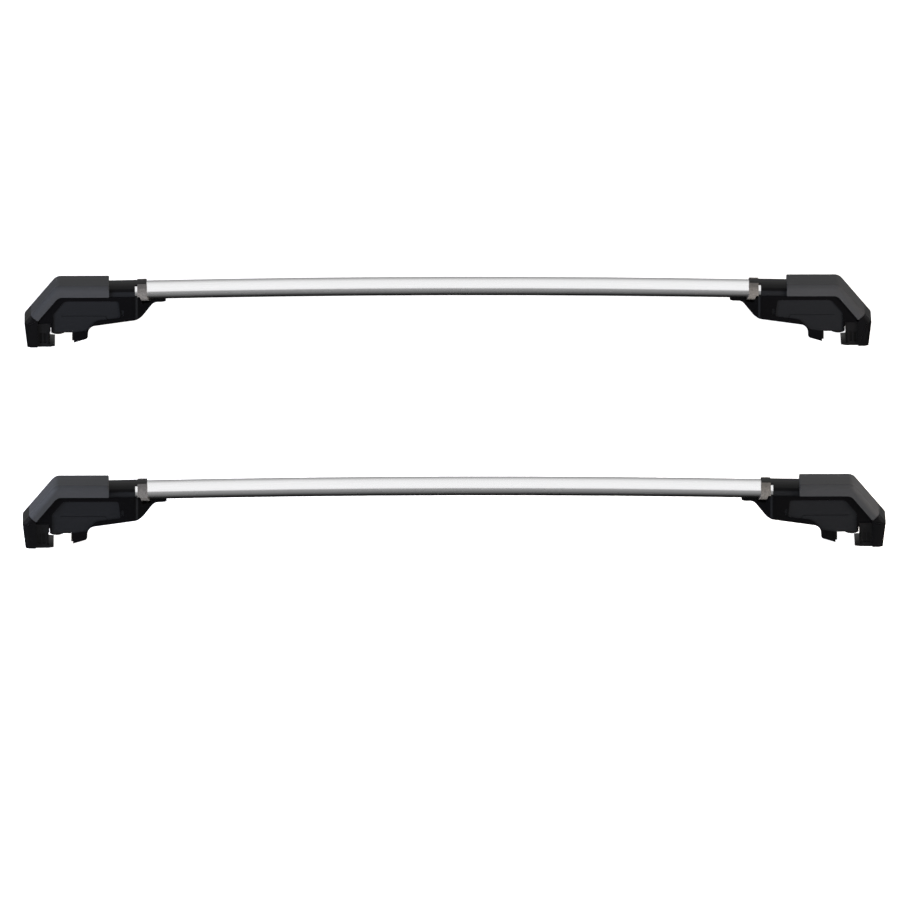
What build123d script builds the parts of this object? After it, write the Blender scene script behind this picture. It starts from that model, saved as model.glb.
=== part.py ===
from build123d import *
import math
import os

# A pair of roof crossbars for raised side rails: two arched oval tubes, each
# carried by a clamp foot at both ends. +X runs along the bars, +Y to the rear,
# +Z up, and the origin is on the ground midway between the four feet.
# A foot is drawn once, at the left end of a bar that lies at y = 0. Its sketches
# use (u, z): u is measured inboard from the foot's outer corner, z from the ground.

# Overall arrangement
OVERALL_LENGTH = 1200.0  # outer corner of the left foot to that of the right foot
BAR_SPREAD = 1100.0  # centreline of the front bar to that of the rear bar

# Bar: an extruded oval tube with two inner webs, bent to a flat arch
BAR_CHORD = 56.0
BAR_THICKNESS = 23.0
BAR_NOSE_RADIUS = 7.5
BAR_WALL = 1.8
BAR_WEB = 1.6
BAR_WEB_PITCH = 20.0
BAR_SCREW_RIB = 4.0  # thicker strip of the lower wall that takes the fixing screws
BAR_RISE = 4.7  # centreline at mid span above that at the ends
BAR_MID_HEIGHT = 80.2  # centreline at mid span

# Stations along the foot, each one a length that follows the one before
JAW_COVER_LENGTH = 19.0
JAW_THICKNESS = 15.0
PAD_THICKNESS = 2.5
RAIL_GAP = 31.3  # jaw pad to inner pad with the clamp fully closed
LEG_THICKNESS = 19.7
COVER_LAP = 30.3  # how far the top cover reaches inboard of the leg
NECK_LENGTH = 36.7
COLLAR_REVEAL = 3.2  # strip of bare bar between the neck and the collar
COLLAR_LENGTH = 13.5
TONGUE_LENGTH = 27.0

# Heights, from the ground up
LIP_THICKNESS = 3.6
RAIL_DEPTH = 16.0  # hook lip to saddle pad
SADDLE_BULGE = 2.4
SADDLE_BULGE_LENGTH = 19.0
SADDLE_THICKNESS = 2.6
GUIDE_FLOOR = 2.2
GUIDE_HEIGHT = 9.4
TUB_FLOOR = 3.2
LEG_LIFT = 6.0
LEG_SOLE_RISE = 5.8
BELLY_HEIGHT = 29.0  # underside of the housing behind the leg
BELLY_RISE = 10.2  # rise of the underside from the leg to the scoop

# Clearances
RUNNING_GAP = 0.4  # between pieces that slide past each other
JAW_GAP = 0.6  # jaw to housing with the clamp closed
SHELF_GAP = 1.0  # jaw to the housing above it
BAR_FIT = 0.15
SEAT_FIT = 0.15
SEAM_GAP = 0.6
COVER_FIT = 0.5  # cover to the rim inside it
EDGE_TOLERANCE = 0.1  # slack when edges are picked by place

# Housing
FLANK_STEP = 2.75  # housing's flanks outside the bar's noses
RIM_DROP = 0.7  # top of the rim below the bar's crown
RIM_LEDGE = 2.0  # ledge that the cover's skirt stands over
RIM_CURVE = 8.0
MOUTH_DROP = 0.2  # shoulder beside the neck below the cover's edge
NECK_WALL = 1.2  # neck's outline outside the bar's
NECK_FLOOR = 3.2
SPIGOT_LENGTH = 45.0
SHELL_WALL = 3.6
TUB_RIB = 2.4
TUB_RIB_HEIGHT = 18.0
TUB_RIB_SETBACK = 8.0
TUB_RIB_PITCH = 30.0
CAVITY_RIB_HEIGHT = 14.0
LEG_LEAN = 0.8
LEG_CORNER = 5.0
BELLY_CURVE = 11.0
SCOOP_START = 73.5  # leg's back to the start of the scoop, along the belly
SCOOP_CURVE = 24.0
SCOOP_END = 10.2  # collar to the end of the scoop
TONGUE_CURVE = 12.0
TONGUE_WIDTH = 30.0
TONGUE_THICKNESS = 3.0
TONGUE_LIP = 2.0  # how far the tongue's sides reach up the bar
TONGUE_ROUND = 8.0
TAPER_LEAD = 4.0  # start of the plan taper before the collar
TAPER_TAIL = 9.0  # end of the plan taper behind the collar
TAPER_CURVE = 16.0
PANEL_DEPTH = 1.8
PANEL_RIM = 7.5
PANEL_TOP_RIM = 6.3
PANEL_SLOPE_RIM = 10.5
PANEL_SETBACK = 23.5
PANEL_LEAD = 3.0
PANEL_LEAN = 3.0
PANEL_OVERRUN = 1.0
PANEL_CORNER = 4.0
PANEL_SLOPE_CURVE = 8.0
PANEL_FOOT = 12.0  # leg's back to the point where the panel turns down the leg
PANEL_FOOT_CURVE = 12.0
LEG_RIM = 2.0
LEG_RIM_RISE = 1.5
GROOVE_WIDTH = 1.2
GROOVE_DEPTH = 0.7
GROOVE_DROP = 6.0
GROOVE_RISE = 8.0
GROOVE_LEAD = 14.0
GROOVE_SETBACK = 18.0
SLOT_LENGTH = 9.0
SLOT_WIDTH = 3.6
SLOT_SETBACK = 5.5
EDGE_BEVEL = 2.0  # along the flanks' lower edges

# Top cover
COVER_WALL = 1.6
COVER_GAP = 1.6  # bar's crown to the cover's ceiling
COVER_SKIRT = 16.5
SKIRT_GAP = 0.35
SKIRT_WALL = 2.5
SLOPE_ANGLE = 49.9
SLOPE_SKIRT = 13.0
SEAM_REACH = 9.1
SEAM_HEIGHT = 46.2
SEAM_SETBACK = 1.5  # rim behind the seam
KNEE_RADIUS = 14.0
SKIRT_CURVE = 12.0
SKIRT_CORNER = 1.5
COVER_END_ROUND = 1.6
SHOULDER = 5.0  # bevel along the cover's long edges

# Jaw and its cover
JAW_WIDTH = 58.0
JAW_CORE_WIDTH = 40.0
JAW_CORE_REACH = 6.0
JAW_NOSE = 3.5  # block above the jaw pad
JAW_RIB = 2.0
JAW_WINDOW_DEPTH = 2.0
JAW_LEAN = 4.3  # how far the outer face leans in at the ground
JAW_COVER_WALL = 2.6
JAW_CORNER_RADIUS = 6.0
LIP_REACH = 7.0
LIP_TIP_RISE = 1.2
LIP_TIP_DROP = 0.6
PAD_WIDTH = 48.0
PAD_RIB_PITCH = 4.0
PAD_RIB_DEPTH = 0.8
PAD_RIB_GAP = 1.4
PRONG_LENGTH = 46.0
PRONG_WIDTH = 8.8
PRONG_PITCH = 23.4

# Collar
COLLAR_WALL = 2.4
COLLAR_SLOT = 30.0  # width of the collar's open top
COLLAR_LEAN = 4.8  # how far the collar's lower end sweeps inboard
COLLAR_SLANT = 3.5

# Fasteners
SCREW_DIAMETER = 6.0
SCREW_HEAD_DIAMETER = 10.0
SCREW_HEAD_HEIGHT = 6.0
SCREW_SOCKET = 5.0
SCREW_SOCKET_DEPTH = 3.2
SCREW_REACH = 27.0  # screw tip past the nut with the clamp closed
SCREW_ROOM = 0.4  # radial room round the shank
THREAD_FIT = 0.06
ACCESS_HOLE = 12.0
WASHER_DIAMETER = 12.0
WASHER_THICKNESS = 1.4
CLIP_DIAMETER = 10.5
CLIP_THICKNESS = 0.9
CLIP_MOUTH = 4.8
NUT_WIDTH = 10.0
NUT_THICKNESS = 5.0
NUT_SETBACK = 14.0  # housing face to nut
FIXING_DIAMETER = 5.0
FIXING_HEAD_DIAMETER = 9.6
FIXING_HEAD_HEIGHT = 2.3
FIXING_INSET = 14.3  # collar to fixing screw
FIXING_SOCKET = 3.0
FIXING_SOCKET_DEPTH = 1.6

# Stations worked out along u
pad_seat = JAW_COVER_LENGTH + JAW_THICKNESS
jaw_face = pad_seat + PAD_THICKNESS
jaw_nose_face = pad_seat + JAW_NOSE
housing_face = jaw_nose_face + JAW_GAP
leg_face = jaw_face + RAIL_GAP
leg_seat = leg_face + PAD_THICKNESS
leg_back = leg_seat + LEG_THICKNESS
cover_end = leg_back + COVER_LAP
bar_end = cover_end + NECK_LENGTH
collar_start = bar_end + COLLAR_REVEAL
collar_end = collar_start + COLLAR_LENGTH
tongue_tip = collar_end + TONGUE_LENGTH
fixing_station = collar_end + FIXING_INSET

# Heights worked out from the ground up
saddle_height = LIP_THICKNESS + RAIL_DEPTH
ceiling = saddle_height + SADDLE_THICKNESS
guide_bottom = ceiling + GUIDE_FLOOR
guide_top = guide_bottom + GUIDE_HEIGHT
screw_height = (guide_bottom + guide_top) / 2
shelf = guide_top + SHELF_GAP
tub_floor = guide_top + TUB_FLOOR

# Half widths, from the bar outwards
housing_half = BAR_CHORD / 2 + FLANK_STEP
cover_half = housing_half + SKIRT_GAP + SKIRT_WALL
tub_half = housing_half - SHELL_WALL

bar_reach = OVERALL_LENGTH / 2 - bar_end
arch_radius = (bar_reach**2 + BAR_RISE**2) / (2 * BAR_RISE)

FOOT = Plane(origin=(-OVERALL_LENGTH / 2, 0, 0), x_dir=(1, 0, 0), z_dir=(0, -1, 0))
PLAN = Plane(origin=(-OVERALL_LENGTH / 2, 0, 0), x_dir=(1, 0, 0), z_dir=(0, 0, 1))


def bar_axis(u):
    """Height of the bar's centreline at a station of the foot."""
    x = OVERALL_LENGTH / 2 - u
    return BAR_MID_HEIGHT - arch_radius + math.sqrt(arch_radius**2 - x**2)


def bar_top(u):
    """Height of the bar's crown at a station of the foot."""
    return bar_axis(u) + BAR_THICKNESS / 2


def bar_bottom(u):
    """Height of the bar's underside at a station of the foot."""
    return bar_axis(u) - BAR_THICKNESS / 2


def across(u, height):
    """Plane square to the clamp screw at a station, looking inboard, with y across the foot."""
    return Plane(origin=(u - OVERALL_LENGTH / 2, 0, height), x_dir=(0, 1, 0), z_dir=(1, 0, 0))


cover_top = bar_top(cover_end) + COVER_GAP + COVER_WALL
cover_edge = cover_top - COVER_SKIRT
slope_rise = math.tan(math.radians(SLOPE_ANGLE))
slope_sin = math.sin(math.radians(SLOPE_ANGLE))
slope_cos = math.cos(math.radians(SLOPE_ANGLE))


def slope_point(depth, along):
    """Point below the cover's sloping face: depth square to it, along it from the seam."""
    u = SEAM_REACH + depth * slope_sin + along * slope_cos
    z = SEAM_HEIGHT - depth * slope_cos + along * slope_sin
    return (u, z)


def slope_at_height(depth, z):
    """Point at a height on the line that lies a depth below the cover's sloping face."""
    start = slope_point(depth, 0)
    return (start[0] + (z - start[1]) / slope_rise, z)


def slope_at_station(depth, u):
    """Point at a station on the line that lies a depth below the cover's sloping face."""
    start = slope_point(depth, 0)
    return (u, start[1] + (u - start[0]) * slope_rise)


def bar_oval(grow):
    """Edges of the bar's outline, four tangent arcs, grown outwards by a distance."""
    half_chord = BAR_CHORD / 2 + grow
    half_height = BAR_THICKNESS / 2 + grow
    nose = BAR_NOSE_RADIUS + grow
    nose_centre = half_chord - nose
    crown = (nose_centre**2 + half_height**2 - nose**2) / (2 * (half_height - nose))
    lean = math.atan2(nose_centre, crown - half_height)
    side = nose_centre + nose * math.sin(lean)
    rise = nose * math.cos(lean)
    with BuildLine() as outline:
        ThreePointArc((-side, rise), (0, half_height), (side, rise))
        ThreePointArc((side, rise), (half_chord, 0), (side, -rise))
        ThreePointArc((side, -rise), (0, -half_height), (-side, -rise))
        ThreePointArc((-side, -rise), (-half_chord, 0), (-side, rise))
    return outline.edges()


def rounded(outline):
    """Face of a closed outline, given as (corner, corner radius) pairs."""
    with BuildSketch() as face:
        Polygon(*[corner for corner, radius in outline], align=None)
        for corner, radius in outline:
            if radius > 0:
                fillet(face.vertices().sort_by_distance(corner)[0], radius)
    return face.sketch


# Bar
bar_end_point = Vector(-bar_reach, 0, bar_axis(bar_end))
with BuildLine(Plane.XZ) as arch:
    ThreePointArc(
        (-bar_reach, bar_axis(bar_end)), (0, BAR_MID_HEIGHT), (bar_reach, bar_axis(bar_end))
    )
bar_start = Plane(origin=arch.line @ 0, x_dir=(0, 1, 0), z_dir=arch.line % 0)
rib_height = BAR_WALL + BAR_SCREW_RIB


def chambers(fit):
    """Sketch of the bar's three chambers, each drawn in by a fit."""
    with BuildSketch() as section:
        make_face(bar_oval(-BAR_WALL - fit))
        with GridLocations(BAR_WEB_PITCH, 0, 2, 1):
            Rectangle(BAR_WEB + 2 * fit, BAR_THICKNESS, mode=Mode.SUBTRACT)
        with Locations((0, -BAR_THICKNESS / 2)):
            Rectangle(BAR_WEB_PITCH, 2 * (rib_height + fit), mode=Mode.SUBTRACT)
    return section.sketch


fixing_places = [
    (side * (OVERALL_LENGTH / 2 - fixing_station), 0, bar_bottom(fixing_station)) for side in (-1, 1)
]
with BuildPart() as crossbar:
    with BuildSketch(bar_start):
        make_face(bar_oval(0))
    sweep(path=arch.line)
    with BuildSketch(bar_start):
        add(chambers(0))
    sweep(path=arch.line, mode=Mode.SUBTRACT)
    with Locations(*fixing_places):
        Cylinder(FIXING_DIAMETER / 2, 3 * rib_height, mode=Mode.SUBTRACT)

# Room for the bar in the foot. The arch is so flat that a foot follows it with a straight line
tongue_point = Vector(tongue_tip - OVERALL_LENGTH / 2, 0, bar_axis(tongue_tip))
seat_plane = Plane(origin=bar_end_point, x_dir=(0, 1, 0), z_dir=tongue_point - bar_end_point)
seat_length = tongue_tip - bar_end + BAR_THICKNESS
with BuildPart() as bar_room:
    with BuildSketch(seat_plane.offset(-BAR_FIT)):
        make_face(bar_oval(BAR_FIT))
    extrude(amount=seat_length)


def station(edge):
    """Station of an edge's middle along the foot."""
    return edge.center().X + OVERALL_LENGTH / 2


def shoulder_edges(part, u_high):
    """Flank edges of a cap that run along its top and slope, outboard of a station."""
    return part.faces().filter_by(Axis.Y).edges().filter_by(
        lambda edge: station(edge) < u_high
        and edge.center().Z > min(cover_edge + SHOULDER, slope_at_station(SHOULDER, station(edge))[1])
    )


# Levels and stations that the foot's outlines share
rim_depth = COVER_WALL + COVER_FIT
rim_crown = bar_top(cover_end) - RIM_DROP
rim_top = cover_edge - RIM_LEDGE
rim_slope = SLOPE_SKIRT + RIM_LEDGE
mouth_height = cover_edge - MOUTH_DROP
collar_floor = bar_bottom(collar_start) - BAR_FIT - COLLAR_WALL - SEAT_FIT
collar_toe = collar_end + COLLAR_LEAN
scoop_height = BELLY_HEIGHT + BELLY_RISE
belly_slope = BELLY_RISE / SCOOP_START
tongue_height = bar_bottom(tongue_tip) - BAR_FIT - TONGUE_THICKNESS
tongue_edge = bar_bottom(tongue_tip) + TONGUE_LIP
end_face = JAW_COVER_LENGTH + SHELF_GAP

# Foot housing: one moulding with a tub under the cover, a leg, and a neck that enters the bar
rim_outline = [
    ((cover_end, rim_top - RIM_LEDGE), 0),
    ((cover_end, rim_crown), 0),
    (slope_at_height(rim_depth, rim_crown), KNEE_RADIUS - rim_depth),
    (slope_point(rim_depth, SEAM_SETBACK), 0),
    (slope_point(rim_slope + RIM_LEDGE, SEAM_SETBACK), 0),
    (slope_at_height(rim_slope + RIM_LEDGE, rim_top - RIM_LEDGE), 0),
]
body_outline = [
    ((leg_seat, LEG_LIFT), 0),
    ((leg_back, LEG_LIFT + LEG_SOLE_RISE), LEG_CORNER),
    ((leg_back + LEG_LEAN, BELLY_HEIGHT), BELLY_CURVE),
    ((leg_back + SCOOP_START, scoop_height), SCOOP_CURVE),
    ((collar_end + SCOOP_END, tongue_height), TONGUE_CURVE),
    ((tongue_tip, tongue_height), 0),
    ((tongue_tip, tongue_edge), 0),
    ((collar_toe + SEAT_FIT, tongue_edge), 0),
    ((collar_toe + SEAT_FIT, collar_floor), 0),
    ((collar_start + 2 * COLLAR_SLANT - SEAT_FIT, collar_floor), 0),
    ((collar_start + COLLAR_SLANT - SEAT_FIT, mouth_height), 0),
    ((cover_end, mouth_height), 0),
    ((cover_end, rim_top), 0),
    (slope_at_height(rim_slope, rim_top), RIM_CURVE),
    (slope_at_station(rim_slope, end_face), 0),
    ((end_face, shelf), 0),
    ((housing_face, shelf), 0),
    ((housing_face, ceiling), 0),
    ((leg_seat, ceiling), 0),
]
plan_outline = [
    ((0, housing_half), 0),
    ((collar_start - TAPER_LEAD, housing_half), TAPER_CURVE),
    ((collar_end + TAPER_TAIL, TONGUE_WIDTH / 2), TAPER_CURVE),
    ((tongue_tip, TONGUE_WIDTH / 2), TONGUE_ROUND),
]
plan_outline += [((u, -y), radius) for (u, y), radius in reversed(plan_outline)]
tub_left = end_face + SHELL_WALL
tub_right = cover_end - SHELL_WALL
tub_slope = rim_depth + SHELL_WALL
tub_outline = [
    ((tub_left, tub_floor), 0),
    ((tub_right, tub_floor), 0),
    ((tub_right, cover_top), 0),
    (slope_at_height(tub_slope, cover_top), 0),
    (slope_at_station(tub_slope, tub_left), 0),
]
tub_rib_stations = [housing_face + TUB_RIB_SETBACK + i * TUB_RIB_PITCH for i in range(3)]
cavity_top = bar_bottom(cover_end) - NECK_FLOOR
cavity_outline = [
    ((cover_end, 0), 0),
    ((cover_end, cavity_top), 0),
    ((bar_end, cavity_top), 0),
    ((bar_end - SHELL_WALL, 0), 0),
]
panel_top = cover_edge - PANEL_TOP_RIM
panel_slope = SLOPE_SKIRT + PANEL_SLOPE_RIM
panel_left = housing_face + PANEL_LEAD
panel_right = bar_end - PANEL_SETBACK
panel_foot = leg_back + PANEL_FOOT


def panel_sill(u):
    """Height of the flank panel's lower edge at a station, above the belly."""
    return BELLY_HEIGHT + belly_slope * (u - leg_back) + PANEL_RIM


panel_outline = [
    (slope_at_height(panel_slope, panel_top), PANEL_SLOPE_CURVE),
    ((panel_right, panel_top), PANEL_CORNER),
    ((panel_right + PANEL_LEAN, panel_sill(panel_right)), PANEL_CORNER),
    ((panel_foot, panel_sill(panel_foot)), PANEL_FOOT_CURVE),
    ((leg_back - LEG_RIM, ceiling + LEG_RIM_RISE), PANEL_CORNER),
    ((leg_seat, ceiling - PANEL_OVERRUN), 0),
    ((panel_left, ceiling - PANEL_OVERRUN), 0),
    (slope_at_station(panel_slope, panel_left), PANEL_CORNER),
]
groove_height = tub_floor + GROOVE_RISE
groove_left = slope_at_height(panel_slope, groove_height)[0] + GROOVE_LEAD
groove_right = panel_right - GROOVE_SETBACK


def flanks(half_width):
    """The two sketch planes on the flanks of a foot's piece."""
    return [
        Plane(FOOT.origin + (0, side * half_width, 0), x_dir=(1, 0, 0), z_dir=(0, -1, 0))
        for side in (-1, 1)
    ]


with BuildPart() as foot_housing:
    with BuildSketch(FOOT):
        add(rounded(rim_outline))
    extrude(amount=housing_half, both=True)
    chamfer(shoulder_edges(foot_housing, cover_end - SHOULDER), SHOULDER)
    with BuildSketch(FOOT):
        add(rounded(body_outline))
    extrude(amount=housing_half, both=True)
    underside = foot_housing.faces().filter_by(Axis.Y).edges().filter_by(
        lambda edge: edge.center().Z < collar_floor - SEAT_FIT
        and station(edge) > leg_seat + EDGE_TOLERANCE
    )
    chamfer(underside, EDGE_BEVEL)
    with BuildSketch(PLAN):
        add(rounded(plan_outline))
    extrude(amount=cover_top, dir=(0, 0, 1), mode=Mode.INTERSECT)
    with BuildSketch(FOOT):
        add(rounded(tub_outline))
        for rib in tub_rib_stations:
            with Locations((rib, tub_floor)):
                Rectangle(TUB_RIB, 2 * TUB_RIB_HEIGHT, mode=Mode.SUBTRACT)
    extrude(amount=tub_half, both=True, mode=Mode.SUBTRACT)
    with BuildSketch(FOOT):
        add(rounded(cavity_outline))
        with Locations(((cover_end + bar_end) / 2, cavity_top)):
            Rectangle(TUB_RIB, 2 * CAVITY_RIB_HEIGHT, mode=Mode.SUBTRACT)
    extrude(amount=tub_half, both=True, mode=Mode.SUBTRACT)
    add(bar_room.part, mode=Mode.SUBTRACT)
    with BuildSketch(seat_plane.offset(-BAR_FIT)):
        make_face(bar_oval(NECK_WALL))
    extrude(amount=tub_right - bar_end)
    with BuildSketch(seat_plane.offset(-BAR_FIT)):
        make_face(bar_oval(NECK_WALL))
        make_face(bar_oval(BAR_FIT), mode=Mode.SUBTRACT)
        with Locations((0, BAR_THICKNESS / 2)):
            Rectangle(COLLAR_SLOT - 2 * SEAT_FIT, BAR_THICKNESS / 2, mode=Mode.INTERSECT)
    extrude(amount=collar_end - bar_end + BAR_FIT)
    with BuildSketch(seat_plane.offset(-BAR_FIT)):
        add(chambers(BAR_FIT))
    extrude(amount=SPIGOT_LENGTH)
    with BuildSketch(across(housing_face, screw_height)):
        with GridLocations(PRONG_PITCH, 0, 2, 1):
            Rectangle(PRONG_WIDTH + 2 * RUNNING_GAP, GUIDE_HEIGHT)
        Circle(SCREW_DIAMETER / 2 + SCREW_ROOM)
    extrude(amount=PRONG_LENGTH + 2 * RUNNING_GAP, mode=Mode.SUBTRACT)
    with BuildSketch(FOOT):
        with Locations((housing_face + NUT_SETBACK - SEAT_FIT, screw_height - NUT_WIDTH / 2 - SEAT_FIT)):
            Rectangle(NUT_THICKNESS + 2 * SEAT_FIT, tub_floor, align=Align.MIN)
    extrude(amount=NUT_WIDTH / 2 + SEAT_FIT, both=True, mode=Mode.SUBTRACT)
    with Locations(Plane(origin=(fixing_places[0][0], 0, tongue_height), z_dir=(0, 0, -1))):
        CounterSinkHole(
            FIXING_DIAMETER / 2 + SEAT_FIT, FIXING_HEAD_DIAMETER / 2 + SEAT_FIT, 2 * TONGUE_THICKNESS,
            counter_sink_angle=90,
        )
    for flank in flanks(housing_half):
        with BuildSketch(flank):
            add(rounded(panel_outline))
        extrude(amount=PANEL_DEPTH, both=True, mode=Mode.SUBTRACT)
        with BuildSketch(flank):
            with BuildLine():
                Polyline(
                    (groove_left, groove_height),
                    (groove_right, groove_height),
                    (groove_right + GROOVE_DROP / 2, groove_height - GROOVE_DROP),
                )
            trace(line_width=GROOVE_WIDTH)
        extrude(amount=PANEL_DEPTH + GROOVE_DEPTH, both=True, mode=Mode.SUBTRACT)
        with BuildSketch(flank):
            with Locations((panel_right + SLOT_SETBACK, groove_height + SLOT_LENGTH / 2)):
                SlotOverall(SLOT_LENGTH, SLOT_WIDTH, rotation=90)
        extrude(amount=PANEL_DEPTH, both=True, mode=Mode.SUBTRACT)

# Top cover: a cap with skirts that drops over the tub
cover_ceiling = cover_top - COVER_WALL
cover_outline = [
    ((cover_end, cover_edge), SKIRT_CORNER),
    ((cover_end, cover_top), 0),
    (slope_at_height(0, cover_top), KNEE_RADIUS),
    (slope_point(0, 0), 0),
    (slope_point(SLOPE_SKIRT, 0), SKIRT_CORNER),
    (slope_at_height(SLOPE_SKIRT, cover_edge), SKIRT_CURVE),
]
cover_room_outline = [
    ((cover_end + SHOULDER, 0), 0),
    ((cover_end + SHOULDER, cover_ceiling), 0),
    (slope_at_height(COVER_WALL, cover_ceiling), KNEE_RADIUS - COVER_WALL),
    (slope_point(COVER_WALL, -SHOULDER), 0),
    (slope_point(COVER_WALL + 2 * SLOPE_SKIRT, -SHOULDER), 0),
]


with BuildPart() as cover_room:
    with BuildSketch(FOOT):
        add(rounded(cover_room_outline))
    extrude(amount=cover_half - SKIRT_WALL, both=True)
    chamfer(shoulder_edges(cover_room, cover_end + SHOULDER - EDGE_TOLERANCE), SHOULDER)

with BuildPart() as top_cover:
    with BuildSketch(FOOT):
        add(rounded(cover_outline))
    extrude(amount=cover_half, both=True)
    chamfer(shoulder_edges(top_cover, cover_end - SHOULDER), SHOULDER)
    end_edges = top_cover.faces().sort_by(Axis.X)[-1].edges()
    fillet(end_edges.filter_by(lambda edge: edge.center().Z > cover_top - SHOULDER), COVER_END_ROUND)
    add(cover_room.part, mode=Mode.SUBTRACT)

# Jaw cover: outer shell of the sliding jaw, in line with the top cover below the seam
corner_height = SEAM_HEIGHT - SEAM_REACH * slope_rise
jaw_cover_outline = [
    (slope_point(0, -SEAM_GAP), 0),
    ((0, corner_height), JAW_CORNER_RADIUS),
    ((JAW_LEAN, 0), 0),
    ((JAW_COVER_LENGTH, 0), 0),
    ((JAW_COVER_LENGTH, slope_point(SLOPE_SKIRT, -SEAM_GAP)[1]), 0),
]
jaw_room_outline = [
    (slope_point(JAW_COVER_WALL, -SEAM_GAP - JAW_COVER_WALL), 0),
    ((JAW_COVER_WALL, corner_height - JAW_COVER_WALL), JAW_CORNER_RADIUS - JAW_COVER_WALL),
    ((JAW_LEAN + JAW_COVER_WALL, JAW_COVER_WALL), 0),
    ((JAW_COVER_LENGTH, JAW_COVER_WALL), 0),
    ((JAW_COVER_LENGTH, slope_point(SLOPE_SKIRT, -SEAM_GAP - JAW_COVER_WALL)[1]), 0),
]


def front_edges(part):
    """Flank edges of the jaw cover's outer face, from the seam down to the toe."""
    return part.faces().filter_by(Axis.Y).edges().filter_by(
        lambda edge: station(edge) < SEAM_REACH and edge.center().Z > JAW_COVER_WALL + EDGE_TOLERANCE
    )


with BuildPart() as jaw_room:
    with BuildSketch(FOOT):
        add(rounded(jaw_room_outline))
    extrude(amount=cover_half - JAW_COVER_WALL, both=True)
    chamfer(front_edges(jaw_room), SHOULDER - JAW_COVER_WALL)

with BuildPart() as jaw_cover:
    with BuildSketch(FOOT):
        add(rounded(jaw_cover_outline))
    extrude(amount=cover_half, both=True)
    chamfer(front_edges(jaw_cover), SHOULDER)
    add(jaw_room.part, mode=Mode.SUBTRACT)
    with BuildSketch(across(0, screw_height)):
        Circle(ACCESS_HOLE / 2)
    extrude(amount=JAW_COVER_LENGTH / 2, mode=Mode.SUBTRACT)

# Clamp jaw: hook, pad seat, core under the jaw cover and two guide prongs
core_face = JAW_COVER_LENGTH - JAW_CORE_REACH
window_height = ceiling - LIP_THICKNESS - 2 * JAW_RIB
window_width = (JAW_THICKNESS - 3 * JAW_RIB) / 2
with BuildPart() as clamp_jaw:
    with BuildSketch(FOOT):
        Polygon(
            (JAW_COVER_LENGTH, 0),
            (jaw_face, 0),
            (jaw_face + LIP_REACH, LIP_TIP_RISE),
            (jaw_face + LIP_REACH, LIP_THICKNESS - LIP_TIP_DROP),
            (jaw_face, LIP_THICKNESS),
            (pad_seat, LIP_THICKNESS),
            (pad_seat, ceiling),
            (jaw_nose_face, ceiling),
            (jaw_nose_face, guide_top),
            (JAW_COVER_LENGTH, guide_top),
            align=None,
        )
    extrude(amount=JAW_WIDTH / 2, both=True)
    with BuildSketch(FOOT):
        with Locations((core_face, JAW_COVER_WALL)):
            Rectangle(JAW_CORE_REACH, guide_top - JAW_COVER_WALL, align=Align.MIN)
    extrude(amount=JAW_CORE_WIDTH / 2, both=True)
    with BuildSketch(across(jaw_nose_face, screw_height)):
        with GridLocations(PRONG_PITCH, 0, 2, 1):
            Rectangle(PRONG_WIDTH, GUIDE_HEIGHT - 2 * RUNNING_GAP)
    extrude(amount=PRONG_LENGTH)
    with BuildSketch(across(core_face, screw_height)):
        Circle(SCREW_DIAMETER / 2 + SCREW_ROOM)
    extrude(amount=jaw_nose_face - core_face, mode=Mode.SUBTRACT)
    with BuildSketch(across(jaw_nose_face, screw_height)):
        Circle(CLIP_DIAMETER / 2 + SCREW_ROOM)
    extrude(amount=-CLIP_THICKNESS - RUNNING_GAP, mode=Mode.SUBTRACT)
    for flank in flanks(JAW_WIDTH / 2):
        with BuildSketch(flank):
            with Locations((JAW_COVER_LENGTH + JAW_THICKNESS / 2, (LIP_THICKNESS + ceiling) / 2)):
                with GridLocations(window_width + JAW_RIB, 0, 2, 1):
                    Rectangle(window_width, window_height)
        extrude(amount=JAW_WINDOW_DEPTH, both=True, mode=Mode.SUBTRACT)

# Rubber pads: ribbed on the jaw, arched under the ceiling, plain on the leg
with BuildPart() as jaw_pad:
    with BuildSketch(FOOT):
        with Locations((pad_seat, LIP_THICKNESS)):
            Rectangle(PAD_THICKNESS, ceiling - LIP_THICKNESS, align=Align.MIN)
        rib_count = int((ceiling - LIP_THICKNESS) / PAD_RIB_PITCH)
        with Locations((jaw_face, (LIP_THICKNESS + ceiling) / 2)):
            with GridLocations(0, PAD_RIB_PITCH, 1, rib_count):
                Rectangle(2 * PAD_RIB_DEPTH, PAD_RIB_GAP, mode=Mode.SUBTRACT)
    extrude(amount=PAD_WIDTH / 2, both=True)

saddle_left = housing_face + SEAT_FIT
bulge_end = saddle_left + SADDLE_BULGE_LENGTH
with BuildPart() as saddle_pad:
    with BuildSketch(FOOT):
        with BuildLine():
            Line((saddle_left, ceiling), (saddle_left, saddle_height))
            ThreePointArc(
                (saddle_left, saddle_height),
                ((saddle_left + bulge_end) / 2, saddle_height - SADDLE_BULGE),
                (bulge_end, saddle_height),
            )
            Polyline(
                (bulge_end, saddle_height),
                (leg_face - SEAT_FIT, saddle_height),
                (leg_face - SEAT_FIT, ceiling),
                (saddle_left, ceiling),
            )
        make_face()
    extrude(amount=PAD_WIDTH / 2, both=True)

with BuildPart() as leg_pad:
    with BuildSketch(FOOT):
        with Locations((leg_face, LEG_LIFT + EDGE_BEVEL)):
            Rectangle(PAD_THICKNESS, ceiling - LEG_LIFT - EDGE_BEVEL, align=Align.MIN)
    extrude(amount=PAD_WIDTH / 2, both=True)
    fillet(leg_pad.faces().sort_by(Axis.X)[0].edges().filter_by(Axis.Z), PAD_RIB_DEPTH)

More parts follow.
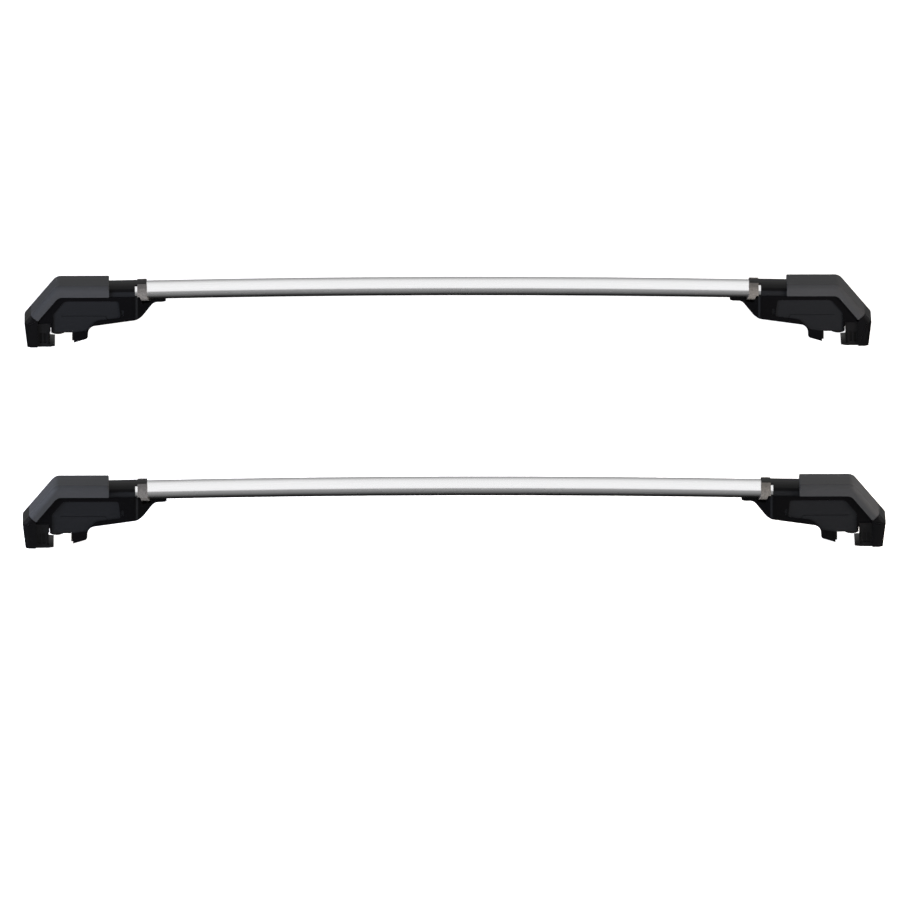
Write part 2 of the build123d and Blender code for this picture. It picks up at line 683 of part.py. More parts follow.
# Bar collar: an open-topped band round the bar, swept inboard below
collar_crown = bar_axis(collar_start) + BAR_THICKNESS
collar_outline = [
    (collar_start, collar_crown),
    (collar_end, collar_crown),
    (collar_end, mouth_height),
    (collar_toe, collar_floor),
    (collar_start + 2 * COLLAR_SLANT, collar_floor),
    (collar_start + COLLAR_SLANT, mouth_height),
    (collar_start, mouth_height),
]
with BuildPart() as bar_collar:
    with BuildSketch(seat_plane):
        make_face(bar_oval(BAR_FIT + COLLAR_WALL))
        make_face(bar_oval(BAR_FIT), mode=Mode.SUBTRACT)
        with Locations((0, BAR_THICKNESS / 2)):
            Rectangle(COLLAR_SLOT, BAR_THICKNESS, mode=Mode.SUBTRACT)
    extrude(amount=seat_length)
    with BuildSketch(FOOT.offset(-BAR_CHORD)):
        Polygon(*collar_outline, align=None)
    extrude(amount=2 * BAR_CHORD, mode=Mode.INTERSECT)

# Clamp screw with its washer, retaining clip and square nut
head_face = core_face - WASHER_THICKNESS
nut_face = housing_face + NUT_SETBACK
screw_tip = nut_face + NUT_THICKNESS + SCREW_REACH
with BuildPart() as clamp_screw:
    with BuildSketch(across(head_face, screw_height)):
        Circle(SCREW_HEAD_DIAMETER / 2)
    extrude(amount=-SCREW_HEAD_HEIGHT)
    with BuildSketch(across(head_face, screw_height)):
        Circle(SCREW_DIAMETER / 2)
    extrude(amount=screw_tip - head_face)
    chamfer(clamp_screw.faces().sort_by(Axis.X)[-1].edges(), SCREW_DIAMETER / 8)
    with BuildSketch(across(head_face - SCREW_HEAD_HEIGHT, screw_height)):
        RegularPolygon(SCREW_SOCKET / 2, 6, major_radius=False)
    extrude(amount=SCREW_SOCKET_DEPTH, mode=Mode.SUBTRACT)

with BuildPart() as screw_washer:
    with BuildSketch(across(head_face, screw_height)):
        Circle(WASHER_DIAMETER / 2)
        Circle(SCREW_DIAMETER / 2 + SCREW_ROOM, mode=Mode.SUBTRACT)
    extrude(amount=WASHER_THICKNESS)

clip_face = jaw_nose_face - CLIP_THICKNESS - RUNNING_GAP / 2
with BuildPart() as screw_clip:
    with BuildSketch(across(clip_face, screw_height)):
        Circle(CLIP_DIAMETER / 2)
        Circle(SCREW_DIAMETER / 2, mode=Mode.SUBTRACT)
        with Locations((0, -CLIP_DIAMETER / 2)):
            Rectangle(CLIP_MOUTH, CLIP_DIAMETER, mode=Mode.SUBTRACT)
    extrude(amount=CLIP_THICKNESS)

with BuildPart() as clamp_nut:
    with BuildSketch(across(nut_face, screw_height)):
        Rectangle(NUT_WIDTH, NUT_WIDTH)
        Circle(SCREW_DIAMETER / 2 + THREAD_FIT, mode=Mode.SUBTRACT)
    extrude(amount=NUT_THICKNESS)

# Fixing screw, from below through the tongue into the bar's rib
fixing_tip = bar_bottom(fixing_station) + rib_height
with BuildPart() as fixing_screw:
    with BuildSketch(Plane.XZ):
        Polygon(
            (0, tongue_height),
            (FIXING_HEAD_DIAMETER / 2, tongue_height),
            (FIXING_DIAMETER / 2 - THREAD_FIT, tongue_height + FIXING_HEAD_HEIGHT),
            (FIXING_DIAMETER / 2 - THREAD_FIT, fixing_tip),
            (0, fixing_tip),
            align=None,
        )
    revolve(axis=Axis.Z)
    with BuildSketch(Plane.XY.offset(tongue_height)):
        RegularPolygon(FIXING_SOCKET / 2, 6, major_radius=False)
    extrude(amount=FIXING_SOCKET_DEPTH, mode=Mode.SUBTRACT)

# Placing: the rear bar is the front one moved back, the right foot the left one mirrored
foot_pieces = {
    "foot_housing": foot_housing,
    "saddle_pad": saddle_pad,
    "leg_pad": leg_pad,
    "bar_collar": bar_collar,
    "clamp_nut": clamp_nut,
    "clamp_jaw": clamp_jaw,
    "jaw_cover": jaw_cover,
    "jaw_pad": jaw_pad,
    "screw_washer": screw_washer,
    "screw_clip": screw_clip,
    "clamp_screw": clamp_screw,
    "top_cover": top_cover,
}
rows = {"front": -BAR_SPREAD / 2, "rear": BAR_SPREAD / 2}
os.makedirs("parts", exist_ok=True)


def write(piece, name):
    """Label a placed piece and write its file."""
    piece.label = name
    export_step(piece, f"parts/{name}.step")


for row, y in rows.items():
    write(Pos(0, y, 0) * crossbar.part, f"{row}_bar")
    for name, piece in foot_pieces.items():
        write(Pos(0, y, 0) * piece.part, f"{row}_left_{name}")
        write(Pos(0, y, 0) * mirror(piece.part, about=Plane.YZ), f"{row}_right_{name}")
fixings = [Pos(x, y, 0) * fixing_screw.part for y in rows.values() for x, *place in fixing_places]
write(Compound(children=fixings), "bar_fixing_screws")
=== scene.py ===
import math

import bmesh
import bpy
from bpy.props import FloatProperty, FloatVectorProperty, PointerProperty
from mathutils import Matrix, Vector


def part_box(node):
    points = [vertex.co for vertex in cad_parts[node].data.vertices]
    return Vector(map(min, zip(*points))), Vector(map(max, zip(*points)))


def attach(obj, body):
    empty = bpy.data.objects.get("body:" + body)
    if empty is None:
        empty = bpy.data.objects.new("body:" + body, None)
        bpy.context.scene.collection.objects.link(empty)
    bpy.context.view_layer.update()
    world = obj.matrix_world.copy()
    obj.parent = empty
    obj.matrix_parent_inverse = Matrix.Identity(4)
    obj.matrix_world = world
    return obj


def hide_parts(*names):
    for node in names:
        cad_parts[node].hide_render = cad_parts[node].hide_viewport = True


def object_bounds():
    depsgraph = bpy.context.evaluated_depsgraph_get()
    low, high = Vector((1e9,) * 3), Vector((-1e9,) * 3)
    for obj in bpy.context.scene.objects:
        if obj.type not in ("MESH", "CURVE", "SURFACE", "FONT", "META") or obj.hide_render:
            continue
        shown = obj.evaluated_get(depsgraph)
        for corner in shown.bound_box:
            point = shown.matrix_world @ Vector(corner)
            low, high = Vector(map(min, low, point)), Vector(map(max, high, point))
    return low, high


bl_info = {
    "name": "Roof Crossbars",
    "version": (1, 0, 0),
    "blender": (4, 5, 0),
    "location": "View3D > Sidebar > Crossbars",
    "description": "Finishes and stage for a pair of clamp-on roof crossbars",
    "category": "Object",
}

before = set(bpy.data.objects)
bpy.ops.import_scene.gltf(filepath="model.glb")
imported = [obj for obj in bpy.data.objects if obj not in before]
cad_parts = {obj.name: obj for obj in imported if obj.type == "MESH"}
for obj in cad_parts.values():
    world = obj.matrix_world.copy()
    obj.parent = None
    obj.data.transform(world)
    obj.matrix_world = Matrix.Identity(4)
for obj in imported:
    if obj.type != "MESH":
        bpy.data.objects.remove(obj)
CAD_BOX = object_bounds()

MM = 0.001
ROWS = ("front", "rear")
FEET = [f"{row}_{side}" for row in ROWS for side in ("left", "right")]

# Places read from the frame, in metres. The bars stand equally far ahead of and behind the
# middle of the pair, so one foot gives the measures of all four.
BAR_LOW, BAR_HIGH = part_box("front_bar")
BAR_PLANE = abs(BAR_LOW.y + BAR_HIGH.y) / 2
HOUSING_LOW, HOUSING_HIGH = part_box("front_left_foot_housing")
HOUSING_HALF = (HOUSING_HIGH.y - HOUSING_LOW.y) / 2
SCREW_LOW, SCREW_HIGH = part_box("front_left_clamp_screw")
SCREW_HEIGHT = (SCREW_LOW.z + SCREW_HIGH.z) / 2

# Rounding of the covers. Their shoulders are 45 degree bevels, and nothing else on a cover
# turns outwards by that much.
MERGE_GAP = 0.002 * MM
FLAT_ANGLE = math.radians(0.5)
SHOULDER_LEAST = math.radians(30)
SHOULDER_MOST = math.radians(60)
ROUND_SEGMENTS = 4
SHARP_ANGLE = math.radians(25)

# Patterns: the values that noise mostly keeps to, how many times longer than wide the bars'
# lines are, the height of moulded grain, and the softening of moulded edges
NOISE_SPAN = (0.3, 0.7)
LINE_STRETCH = 50
GRAIN_RELIEF = 0.1 * MM
EDGE_ROUND = 0.6 * MM

# Depths below the housing's flank at which the panel's grain comes in and goes out again, and
# how far the grain shifts the panel's tone
PANEL_IN = (0.9 * MM, 1.5 * MM)
PANEL_OUT = (2.4 * MM, 3.0 * MM)
PANEL_SPECKLE = 0.15

# The clamp screw's thread: a radius between those of shank and head, the depth as a share of
# the pitch, and the length of one band of the wave texture at a scale of 1
SHANK_REACH = 3.2 * MM
THREAD_DEPTH = 0.5
WAVE_BAND = math.pi / 10

# Light that the bars and the glossy surfaces reflect, round the bars' length, as (degrees up
# from the front horizon, level). It is overhead, it ends above the front horizon, and it fades
# to black underneath.
STUDIO = (
    (-180, 0.15), (-165, 0.08), (-150, 0.01), (-101, 0.008), (-75, 0.03), (-45, 0.12), (-15, 0.22),
    (15, 0.30), (44, 0.36), (52, 0.98), (121, 1.05), (150, 0.95), (162, 0.45), (180, 0.15),
)

# Lamps, in metres: soft boxes out to the sides, and low fills ahead of and behind the pair
SIDE_PLACE = (2.2, -1.0, 0.5)
SIDE_SIZE = (1.0, 0.5)
FILL_PLACE = (0.0, 9.0, 0.5)
FILL_SIZE = (4.0, 0.6)
WHITE = (1.0, 1.0, 1.0)


def srgb(hex_colour):
    """Linear RGB of an sRGB hex colour."""
    channels = [int(hex_colour[i : i + 2], 16) / 255 for i in (1, 3, 5)]
    return tuple(c / 12.92 if c <= 0.04045 else ((c + 0.055) / 1.055) ** 2.4 for c in channels)


def add_node(tree, kind, links=None, stops=(), **settings):
    """Add a shader node.

    Links give its inputs a value or another node's output, and stops give a colour ramp its
    (position, colour) pairs, in rising order.
    """
    node = tree.nodes.new(kind)
    for name, value in settings.items():
        setattr(node, name, value)
    for name, value in (links or {}).items():
        if isinstance(value, bpy.types.NodeSocket):
            tree.links.new(value, node.inputs[name])
        else:
            node.inputs[name].default_value = value
    for index, (position, colour) in enumerate(stops):
        marks = node.color_ramp.elements
        mark = marks[index] if index < len(marks) else marks.new(position)
        mark.position = position
        mark.color = (*colour, 1.0)
    return node


def new_material(name, **shader):
    """A material with one Principled shader, its constant values set on the shader itself."""
    material = bpy.data.materials.new(name)
    material.use_nodes = True
    tree = material.node_tree
    surface = tree.nodes["Principled BSDF"]
    for socket, value in shader.items():
        surface.inputs[socket.replace("_", " ")].default_value = value
    return material, tree, surface


def every_foot(piece):
    """Names of one kind of piece on all four feet."""
    return [f"{foot}_{piece}" for foot in FEET]


def dress(names, material):
    """Give CAD nodes a material."""
    for name in names:
        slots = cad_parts[name].material_slots
        if not slots:
            raise RuntimeError(f"{name} has no material slot")
        for slot in slots:
            slot.material = material


def softened(node, body, radius, material):
    """Copy of a cover with its shoulder edges rounded. It stands for the CAD node."""
    shell = bmesh.new()
    shell.from_mesh(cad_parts[node].data)
    bmesh.ops.remove_doubles(shell, verts=shell.verts, dist=MERGE_GAP)
    bmesh.ops.dissolve_limit(shell, angle_limit=FLAT_ANGLE, verts=shell.verts, edges=shell.edges)
    shoulders = [
        edge
        for edge in shell.edges
        if SHOULDER_LEAST < edge.calc_face_angle_signed() < SHOULDER_MOST
    ]
    if not shoulders:
        raise RuntimeError(f"{node} has no shoulder edges to round")
    bmesh.ops.bevel(
        shell, geom=shoulders, offset=radius, offset_type="OFFSET", segments=ROUND_SEGMENTS,
        profile=0.5, affect="EDGES", material=-1,
    )
    mesh = bpy.data.meshes.new(f"{node}_shell")
    shell.to_mesh(mesh)
    shell.free()
    mesh.shade_smooth()
    mesh.set_sharp_from_angle(angle=SHARP_ANGLE)
    mesh.materials.append(material)
    piece = bpy.data.objects.new(f"{node}_shell", mesh)
    bpy.context.scene.collection.objects.link(piece)
    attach(piece, body)
    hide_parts(node)


def off_plane(tree, y):
    """Distance of a point from the upright middle plane of its bar, front and rear alike."""
    row = add_node(tree, "ShaderNodeMath", {0: y}, operation="ABSOLUTE").outputs[0]
    off = add_node(tree, "ShaderNodeMath", {0: row, 1: BAR_PLANE}, operation="SUBTRACT").outputs[0]
    return add_node(tree, "ShaderNodeMath", {0: off}, operation="ABSOLUTE").outputs[0]


def add_tones(tree, surface, pattern, low, high, span=NOISE_SPAN):
    """Colour a surface between two tones along a pattern."""
    stops = zip(span, (low, high))
    tones = add_node(tree, "ShaderNodeValToRGB", {"Fac": pattern}, stops=stops)
    tree.links.new(tones.outputs["Color"], surface.inputs["Base Color"])


def add_shades(tree, surface, pattern, colour, darkest, lightest):
    """Colour a surface in shades of one colour along a pattern, as factors of that colour."""
    shades = [tuple(factor * channel for channel in colour) for factor in (darkest, lightest)]
    add_tones(tree, surface, pattern, *shades)


def add_sheen(tree, surface, pattern, low, high, span=NOISE_SPAN):
    """Vary a surface's roughness along a pattern."""
    limits = {"From Min": span[0], "From Max": span[1], "To Min": low, "To Max": high}
    sheen = add_node(tree, "ShaderNodeMapRange", {"Value": pattern, **limits})
    tree.links.new(sheen.outputs[0], surface.inputs["Roughness"])


def add_grain(tree, surface, place, size, strength):
    """Raise a moulded grain of a given size, over softened edges, and return its pattern."""
    noise = {"Vector": place, "Scale": 1 / size, "Detail": 3.0, "Roughness": 0.6}
    grain = add_node(tree, "ShaderNodeTexNoise", noise).outputs["Fac"]
    soft = add_node(tree, "ShaderNodeBevel", {"Radius": EDGE_ROUND}, samples=6).outputs["Normal"]
    relief = {"Strength": strength, "Distance": GRAIN_RELIEF, "Height": grain, "Normal": soft}
    bump = add_node(tree, "ShaderNodeBump", relief)
    tree.links.new(bump.outputs["Normal"], surface.inputs["Normal"])
    return grain


def moulded(name, colour, grain_size, strength, shades, sheen, specular):
    """A moulded or coated surface, whose colour and gloss follow its grain.

    Shades are factors of the colour and sheen is roughness, each from least to most.
    """
    material, tree, surface = new_material(name, Specular_IOR_Level=specular)
    place = add_node(tree, "ShaderNodeTexCoord").outputs["Object"]
    grain = add_grain(tree, surface, place, grain_size, strength)
    add_shades(tree, surface, grain, colour, *shades)
    add_sheen(tree, surface, grain, *sheen)
    return material


def anodised_aluminium(finishes):
    """Extruded aluminium, brushed and anodised: a soft bright sheen with faint lines.

    The lines run along the bar and are drawn as coarse as they need to show.
    """
    material, tree, surface = new_material("anodised_aluminium", Metallic=1.0)
    place = add_node(tree, "ShaderNodeTexCoord").outputs["Object"]
    stretch = {"Vector": place, "Scale": (1 / LINE_STRETCH, 1.0, 1.0)}
    drawn = add_node(tree, "ShaderNodeMapping", stretch).outputs[0]
    noise = {"Vector": drawn, "Scale": 1 / finishes.bar_line, "Detail": 4.0}
    lines = add_node(tree, "ShaderNodeTexNoise", noise).outputs["Fac"]
    add_shades(tree, surface, lines, finishes.bar_colour, darkest=0.96, lightest=1.0)
    add_sheen(tree, surface, lines, low=0.24, high=0.28)
    return material


def satin_abs(finishes):
    """Moulded ABS with a fine satin texture: a broad soft sheen on a dark grey."""
    return moulded(
        "satin_abs", finishes.cover_colour, finishes.plastic_grain,
        strength=0.3, shades=(0.94, 1.06), sheen=(0.46, 0.56), specular=0.1,
    )


def grained_nylon(finishes):
    """Glass-filled black nylon: satin rims and, in the flank recess, a lighter dull grain."""
    material, tree, surface = new_material("grained_nylon", Specular_IOR_Level=0.05)
    place = add_node(tree, "ShaderNodeTexCoord").outputs["Object"]
    axes = add_node(tree, "ShaderNodeSeparateXYZ", {0: place}).outputs
    aside = {0: HOUSING_HALF, 1: off_plane(tree, axes["Y"])}
    depth = add_node(tree, "ShaderNodeMath", aside, operation="SUBTRACT").outputs[0]
    start = {"Value": depth, "From Min": PANEL_IN[0], "From Max": PANEL_IN[1]}
    end = {"Value": depth, "From Min": PANEL_OUT[1], "From Max": PANEL_OUT[0]}
    comes_in = add_node(tree, "ShaderNodeMapRange", start).outputs[0]
    goes_out = add_node(tree, "ShaderNodeMapRange", end).outputs[0]
    both = {0: comes_in, 1: goes_out}
    panel = add_node(tree, "ShaderNodeMath", both, operation="MULTIPLY").outputs[0]
    grain = add_grain(tree, surface, place, finishes.plastic_grain, strength=0.5)
    shift = {"Value": grain, "To Min": -PANEL_SPECKLE, "To Max": PANEL_SPECKLE}
    speckle = add_node(tree, "ShaderNodeMapRange", shift).outputs[0]
    tone = add_node(tree, "ShaderNodeMath", {0: panel, 1: speckle}, operation="ADD").outputs[0]
    whole = (0.0, 1.0)
    add_tones(tree, surface, tone, finishes.housing_colour, finishes.panel_colour, span=whole)
    add_sheen(tree, surface, panel, low=0.36, high=0.62, span=whole)
    return material


def black_abs(finishes):
    """Moulded black ABS: smoother and glossier than the housing."""
    return moulded(
        "black_abs", finishes.jaw_cover_colour, finishes.plastic_grain,
        strength=0.2, shades=(0.9, 1.1), sheen=(0.3, 0.4), specular=0.14,
    )


def powder_coat(finishes):
    """Black powder coat on cast metal: an even satin with a faint orange-peel."""
    return moulded(
        "powder_coat", finishes.jaw_colour, finishes.coat_peel,
        strength=0.15, shades=(0.9, 1.1), sheen=(0.4, 0.5), specular=0.15,
    )


def black_rubber(finishes):
    """Moulded rubber: dull, slightly dusty black."""
    return moulded(
        "black_rubber", finishes.rubber_colour, finishes.rubber_grain,
        strength=0.2, shades=(0.8, 1.2), sheen=(0.7, 0.85), specular=0.3,
    )


def grained_plastic(finishes):
    """Soft grey plastic with a leather-like grain, drawn as coarse as it needs to show."""
    return moulded(
        "grained_plastic", finishes.collar_colour, finishes.collar_grain,
        strength=0.6, shades=(0.55, 1.25), sheen=(0.55, 0.7), specular=0.3,
    )


def zinc_plate(finishes):
    """Zinc-plated steel: a cool, slightly uneven metal sheen."""
    material, tree, surface = new_material("zinc_plate", Metallic=1.0)
    place = add_node(tree, "ShaderNodeTexCoord").outputs["Object"]
    noise = {"Vector": place, "Scale": 1 / finishes.zinc_cloud}
    cloud = add_node(tree, "ShaderNodeTexNoise", noise).outputs["Fac"]
    add_shades(tree, surface, cloud, finishes.steel_colour, darkest=0.85, lightest=1.0)
    add_sheen(tree, surface, cloud, low=0.28, high=0.42)
    return material


def threaded_zinc(finishes):
    """Zinc-plated screw: the shank carries a rolled thread, the head is plain."""
    material = zinc_plate(finishes)
    material.name = "threaded_zinc"
    tree = material.node_tree
    place = add_node(tree, "ShaderNodeTexCoord").outputs["Object"]
    axes = add_node(tree, "ShaderNodeSeparateXYZ", {0: place}).outputs
    height = {0: axes["Z"], 1: SCREW_HEIGHT}
    rise = add_node(tree, "ShaderNodeMath", height, operation="SUBTRACT").outputs[0]
    across = {"X": off_plane(tree, axes["Y"]), "Y": rise}
    offset = add_node(tree, "ShaderNodeCombineXYZ", across).outputs[0]
    radius = add_node(tree, "ShaderNodeVectorMath", {0: offset}, operation="LENGTH")
    reach = {0: radius.outputs["Value"], 1: SHANK_REACH}
    shank = add_node(tree, "ShaderNodeMath", reach, operation="LESS_THAN").outputs[0]
    bands = {"Vector": place, "Scale": WAVE_BAND / finishes.thread_pitch}
    wave = add_node(tree, "ShaderNodeTexWave", bands).outputs["Fac"]
    thread = add_node(tree, "ShaderNodeMath", {0: wave, 1: shank}, operation="MULTIPLY").outputs[0]
    relief = {"Distance": THREAD_DEPTH * finishes.thread_pitch, "Height": thread}
    bump = add_node(tree, "ShaderNodeBump", relief)
    tree.links.new(bump.outputs["Normal"], tree.nodes["Principled BSDF"].inputs["Normal"])
    return material


def add_floor(stage):
    """Pale paper floor that light comes through. The bars don't reflect it."""
    paper = (*stage.floor_colour, 1.0)
    material, _, _ = new_material(
        "floor_paper", Roughness=0.9, Specular_IOR_Level=0.1,
        Base_Color=paper, Emission_Color=paper, Emission_Strength=stage.floor_glow,
    )
    bpy.ops.mesh.primitive_plane_add(size=stage.floor_size, location=(0, 0, CAD_BOX[0].z))
    floor = bpy.context.object
    floor.name = "floor"
    floor.data.materials.append(material)
    floor.visible_glossy = False


def add_ring(scene, stage):
    """Ring of light round the bars' length. It is only seen in reflections."""
    world = bpy.data.worlds.new("studio")
    scene.world = world
    world.use_nodes = True
    world.cycles_visibility.diffuse = False
    tree = world.node_tree
    direction = add_node(tree, "ShaderNodeTexCoord").outputs["Generated"]
    axes = add_node(tree, "ShaderNodeSeparateXYZ", {0: direction}).outputs
    turned = {0: axes["Y"], 1: -1.0}
    front = add_node(tree, "ShaderNodeMath", turned, operation="MULTIPLY").outputs[0]
    height = {0: axes["Z"], 1: front}
    angle = add_node(tree, "ShaderNodeMath", height, operation="ARCTAN2").outputs[0]
    circle = {"Value": angle, "From Min": -math.pi, "From Max": math.pi}
    turn = add_node(tree, "ShaderNodeMapRange", circle).outputs[0]
    stops = [((degrees + 180) / 360, (level, level, level)) for degrees, level in STUDIO]
    ring = add_node(tree, "ShaderNodeValToRGB", {"Fac": turn}, stops=stops)
    sky = tree.nodes["Background"]
    sky.inputs["Strength"].default_value = stage.ring_strength
    tree.links.new(ring.outputs["Color"], sky.inputs["Color"])


def add_lamps(scene, stage):
    """Soft boxes and low fills, turned to the pair. They only light dull surfaces."""
    # Name, mirroring of the place, place, size, power and colour
    lamps = (
        ("left_light", (-1, 1, 1), SIDE_PLACE, SIDE_SIZE, stage.side_power, stage.left_colour),
        ("right_light", (1, 1, 1), SIDE_PLACE, SIDE_SIZE, stage.side_power, stage.right_colour),
        ("front_fill", (1, -1, 1), FILL_PLACE, FILL_SIZE, stage.fill_power, WHITE),
        ("rear_fill", (1, 1, 1), FILL_PLACE, FILL_SIZE, stage.fill_power, WHITE),
    )
    for name, mirror, place, size, power, colour in lamps:
        lamp = bpy.data.lights.new(name, "AREA")
        lamp.shape = "RECTANGLE"
        lamp.size, lamp.size_y = size
        lamp.energy = power
        lamp.color = colour
        light = bpy.data.objects.new(name, lamp)
        light.location = Vector(mirror) * Vector(place)
        light.rotation_euler = (-light.location).to_track_quat("-Z", "Y").to_euler()
        light.visible_glossy = False
        scene.collection.objects.link(light)


def add_camera(scene, stage):
    """Long lens that looks down on the pair from the front."""
    lens = bpy.data.cameras.new("camera")
    lens.lens = stage.lens
    distance = stage.frame_width * stage.lens / lens.sensor_width
    lens.clip_end = 2 * distance
    back = Vector((
        math.sin(stage.azimuth) * math.cos(stage.elevation),
        -math.cos(stage.azimuth) * math.cos(stage.elevation),
        math.sin(stage.elevation),
    ))
    camera = bpy.data.objects.new("camera", lens)
    camera.location = Vector(stage.aim) + back * distance
    camera.rotation_euler = (-back).to_track_quat("-Z", "Y").to_euler()
    scene.collection.objects.link(camera)
    scene.camera = camera


class CrossbarFinishes(bpy.types.PropertyGroup):
    """Colours, rounds and grain sizes of the finishes"""

    bar_colour: FloatVectorProperty(
        name="Bar", description="Anodised aluminium of the bars",
        subtype="COLOR", default=srgb("#F2F2F3"),
    )
    cover_colour: FloatVectorProperty(
        name="Top cover", description="Grey ABS of the top covers",
        subtype="COLOR", default=srgb("#2A2B2D"),
    )
    housing_colour: FloatVectorProperty(
        name="Housing", description="Black nylon of the foot housings",
        subtype="COLOR", default=srgb("#050506"),
    )
    panel_colour: FloatVectorProperty(
        name="Flank panel", description="Grained field of the housing flanks",
        subtype="COLOR", default=srgb("#131416"),
    )
    jaw_cover_colour: FloatVectorProperty(
        name="Jaw cover", description="Black ABS of the jaw covers",
        subtype="COLOR", default=srgb("#060607"),
    )
    jaw_colour: FloatVectorProperty(
        name="Jaw", description="Black powder coat of the jaws",
        subtype="COLOR", default=srgb("#0C0C0D"),
    )
    rubber_colour: FloatVectorProperty(
        name="Pads", description="Black rubber of the pads",
        subtype="COLOR", default=srgb("#0E0E0E"),
    )
    collar_colour: FloatVectorProperty(
        name="Collar", description="Grained grey plastic of the collars",
        subtype="COLOR", default=srgb("#53514F"),
    )
    steel_colour: FloatVectorProperty(
        name="Fasteners", description="Zinc plate of the screws and nuts",
        subtype="COLOR", default=srgb("#B9B8B0"),
    )
    cover_round: FloatProperty(
        name="Cover round", description="Rounding of the top covers' shoulders",
        unit="LENGTH", default=2.2 * MM,
    )
    jaw_round: FloatProperty(
        name="Jaw round", description="Rounding of the jaw covers' shoulders",
        unit="LENGTH", default=1.8 * MM,
    )
    bar_line: FloatProperty(
        name="Bar lines", description="Spacing of the lines along the bars",
        unit="LENGTH", default=1.2 * MM,
    )
    plastic_grain: FloatProperty(
        name="Plastic grain", description="Grain of covers and housings, coarse enough to show",
        unit="LENGTH", default=0.6 * MM,
    )
    coat_peel: FloatProperty(
        name="Orange-peel", description="Orange-peel of the jaws' powder coat",
        unit="LENGTH", default=0.96 * MM,
    )
    rubber_grain: FloatProperty(
        name="Rubber grain", description="Grain of the pads",
        unit="LENGTH", default=0.78 * MM,
    )
    collar_grain: FloatProperty(
        name="Collar grain", description="Grain of the collars",
        unit="LENGTH", default=2.0 * MM,
    )
    zinc_cloud: FloatProperty(
        name="Zinc cloud", description="Size of the uneven patches in the zinc plate",
        unit="LENGTH", default=3.0 * MM,
    )
    thread_pitch: FloatProperty(
        name="Thread", description="Pitch of the clamp screws",
        unit="LENGTH", default=1.0 * MM,
    )


class CrossbarStage(bpy.types.PropertyGroup):
    """Camera, floor and light"""

    elevation: FloatProperty(
        name="Elevation", description="Camera above the horizon",
        subtype="ANGLE", default=math.radians(14.86),
    )
    azimuth: FloatProperty(
        name="Azimuth", description="Camera turn round the pair",
        subtype="ANGLE", default=math.radians(-0.457),
    )
    frame_width: FloatProperty(
        name="Frame width", description="Width that fills the picture",
        unit="LENGTH", default=1.2632,
    )
    aim: FloatVectorProperty(
        name="Aim", description="Middle of the picture",
        subtype="TRANSLATION", default=(-0.0013, 0.0, -0.0141),
    )
    lens: FloatProperty(
        name="Lens", description="Focal length of the long lens",
        unit="CAMERA", default=1600.0,
    )
    floor_colour: FloatVectorProperty(
        name="Floor", description="Pale seamless floor",
        subtype="COLOR", default=srgb("#F7F7F7"),
    )
    floor_size: FloatProperty(
        name="Floor size", description="Side of the floor",
        unit="LENGTH", default=40.0,
    )
    floor_glow: FloatProperty(
        name="Floor glow", description="Light that comes through the floor",
        default=1.0,
    )
    ring_strength: FloatProperty(
        name="Ring", description="Strength of the ring of light in the reflections",
        default=1.0,
    )
    side_power: FloatProperty(
        name="Side lights", description="Power of each side light",
        subtype="POWER", default=105.0,
    )
    fill_power: FloatProperty(
        name="Fill lights", description="Power of each of the low front and rear lights",
        subtype="POWER", default=520.0,
    )
    left_colour: FloatVectorProperty(
        name="Left light", description="Cool light at the left end",
        subtype="COLOR", default=srgb("#EEF1FF"),
    )
    right_colour: FloatVectorProperty(
        name="Right light", description="Warm light at the right end",
        subtype="COLOR", default=srgb("#FFF4E8"),
    )


class CROSSBARS_OT_bars(bpy.types.Operator):
    """Finish the two arched bars"""

    bl_idname = "crossbars.bars"
    bl_label = "Bars"

    def execute(self, context):
        aluminium = anodised_aluminium(context.scene.crossbar_finishes)
        dress([f"{row}_bar" for row in ROWS], aluminium)
        return {"FINISHED"}


class CROSSBARS_OT_housings(bpy.types.Operator):
    """Finish the foot housings"""

    bl_idname = "crossbars.housings"
    bl_label = "Foot housings"

    def execute(self, context):
        dress(every_foot("foot_housing"), grained_nylon(context.scene.crossbar_finishes))
        return {"FINISHED"}


class CROSSBARS_OT_covers(bpy.types.Operator):
    """Round the shoulders of the top covers and the jaw covers and finish them"""

    bl_idname = "crossbars.covers"
    bl_label = "Covers"

    def execute(self, context):
        finishes = context.scene.crossbar_finishes
        grey = satin_abs(finishes)
        black = black_abs(finishes)
        top_round = finishes.cover_round
        jaw_round = finishes.jaw_round
        for foot in FEET:
            softened(f"{foot}_top_cover", f"{foot}_cover", top_round, grey)
            softened(f"{foot}_jaw_cover", f"{foot}_jaw", jaw_round, black)
        return {"FINISHED"}


class CROSSBARS_OT_jaws(bpy.types.Operator):
    """Finish the clamp jaws and the pads that grip the rail"""

    bl_idname = "crossbars.jaws"
    bl_label = "Jaws and pads"

    def execute(self, context):
        finishes = context.scene.crossbar_finishes
        dress(every_foot("clamp_jaw"), powder_coat(finishes))
        rubber = black_rubber(finishes)
        for pad in ("jaw_pad", "saddle_pad", "leg_pad"):
            dress(every_foot(pad), rubber)
        return {"FINISHED"}


class CROSSBARS_OT_collars(bpy.types.Operator):
    """Finish the collars round the bars"""

    bl_idname = "crossbars.collars"
    bl_label = "Bar collars"

    def execute(self, context):
        dress(every_foot("bar_collar"), grained_plastic(context.scene.crossbar_finishes))
        return {"FINISHED"}


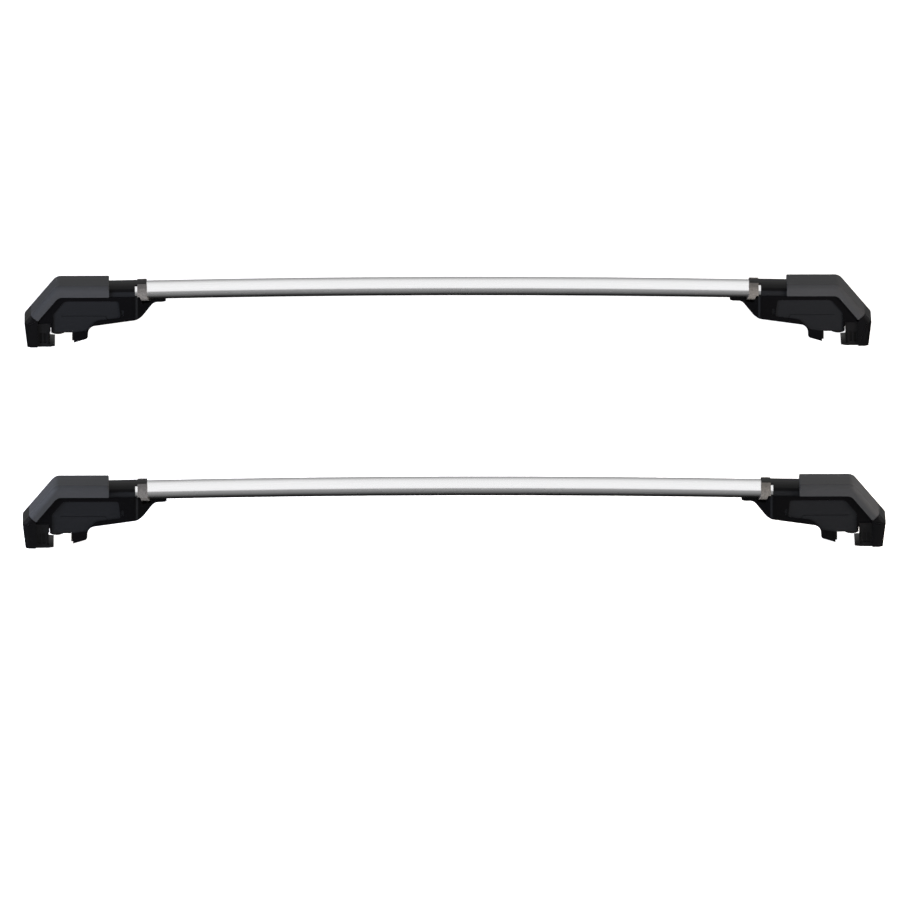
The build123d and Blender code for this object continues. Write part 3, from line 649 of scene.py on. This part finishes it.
class CROSSBARS_OT_fasteners(bpy.types.Operator):
    """Finish the screws, washers, clips and nuts"""

    bl_idname = "crossbars.fasteners"
    bl_label = "Fasteners"

    def execute(self, context):
        finishes = context.scene.crossbar_finishes
        zinc = zinc_plate(finishes)
        for piece in ("screw_washer", "screw_clip", "clamp_nut"):
            dress(every_foot(piece), zinc)
        dress(every_foot("clamp_screw"), threaded_zinc(finishes))
        dress(["bar_fixing_screws"], zinc)
        return {"FINISHED"}


class CROSSBARS_OT_stage(bpy.types.Operator):
    """Set the pale floor, the soft light and the camera"""

    bl_idname = "crossbars.stage"
    bl_label = "Stage"

    def execute(self, context):
        scene = context.scene
        stage = scene.crossbar_stage
        scene.view_settings.view_transform = "Standard"
        add_floor(stage)
        add_ring(scene, stage)
        add_lamps(scene, stage)
        add_camera(scene, stage)
        return {"FINISHED"}


class CROSSBARS_PT_panel(bpy.types.Panel):
    """Crossbar pieces and stage"""

    bl_idname = "CROSSBARS_PT_panel"
    bl_label = "Crossbars"
    bl_space_type = "VIEW_3D"
    bl_region_type = "UI"
    bl_category = "Crossbars"

    def draw(self, context):
        for group in (context.scene.crossbar_finishes, context.scene.crossbar_stage):
            box = self.layout.box()
            for name in group.__annotations__:
                box.prop(group, name)
        for operator in OPERATORS:
            self.layout.operator(operator.bl_idname)


OPERATORS = (
    CROSSBARS_OT_bars,
    CROSSBARS_OT_housings,
    CROSSBARS_OT_covers,
    CROSSBARS_OT_jaws,
    CROSSBARS_OT_collars,
    CROSSBARS_OT_fasteners,
    CROSSBARS_OT_stage,
)
CLASSES = (CrossbarFinishes, CrossbarStage, *OPERATORS, CROSSBARS_PT_panel)


def register():
    for cls in CLASSES:
        bpy.utils.register_class(cls)
    bpy.types.Scene.crossbar_finishes = PointerProperty(type=CrossbarFinishes)
    bpy.types.Scene.crossbar_stage = PointerProperty(type=CrossbarStage)


def unregister():
    del bpy.types.Scene.crossbar_stage
    del bpy.types.Scene.crossbar_finishes
    for cls in reversed(CLASSES):
        bpy.utils.unregister_class(cls)


def main():
    register()
    bpy.ops.crossbars.bars()
    bpy.ops.crossbars.housings()
    bpy.ops.crossbars.covers()
    bpy.ops.crossbars.jaws()
    bpy.ops.crossbars.collars()
    bpy.ops.crossbars.fasteners()
    bpy.ops.crossbars.stage()


if __name__ == "__main__":
    main()
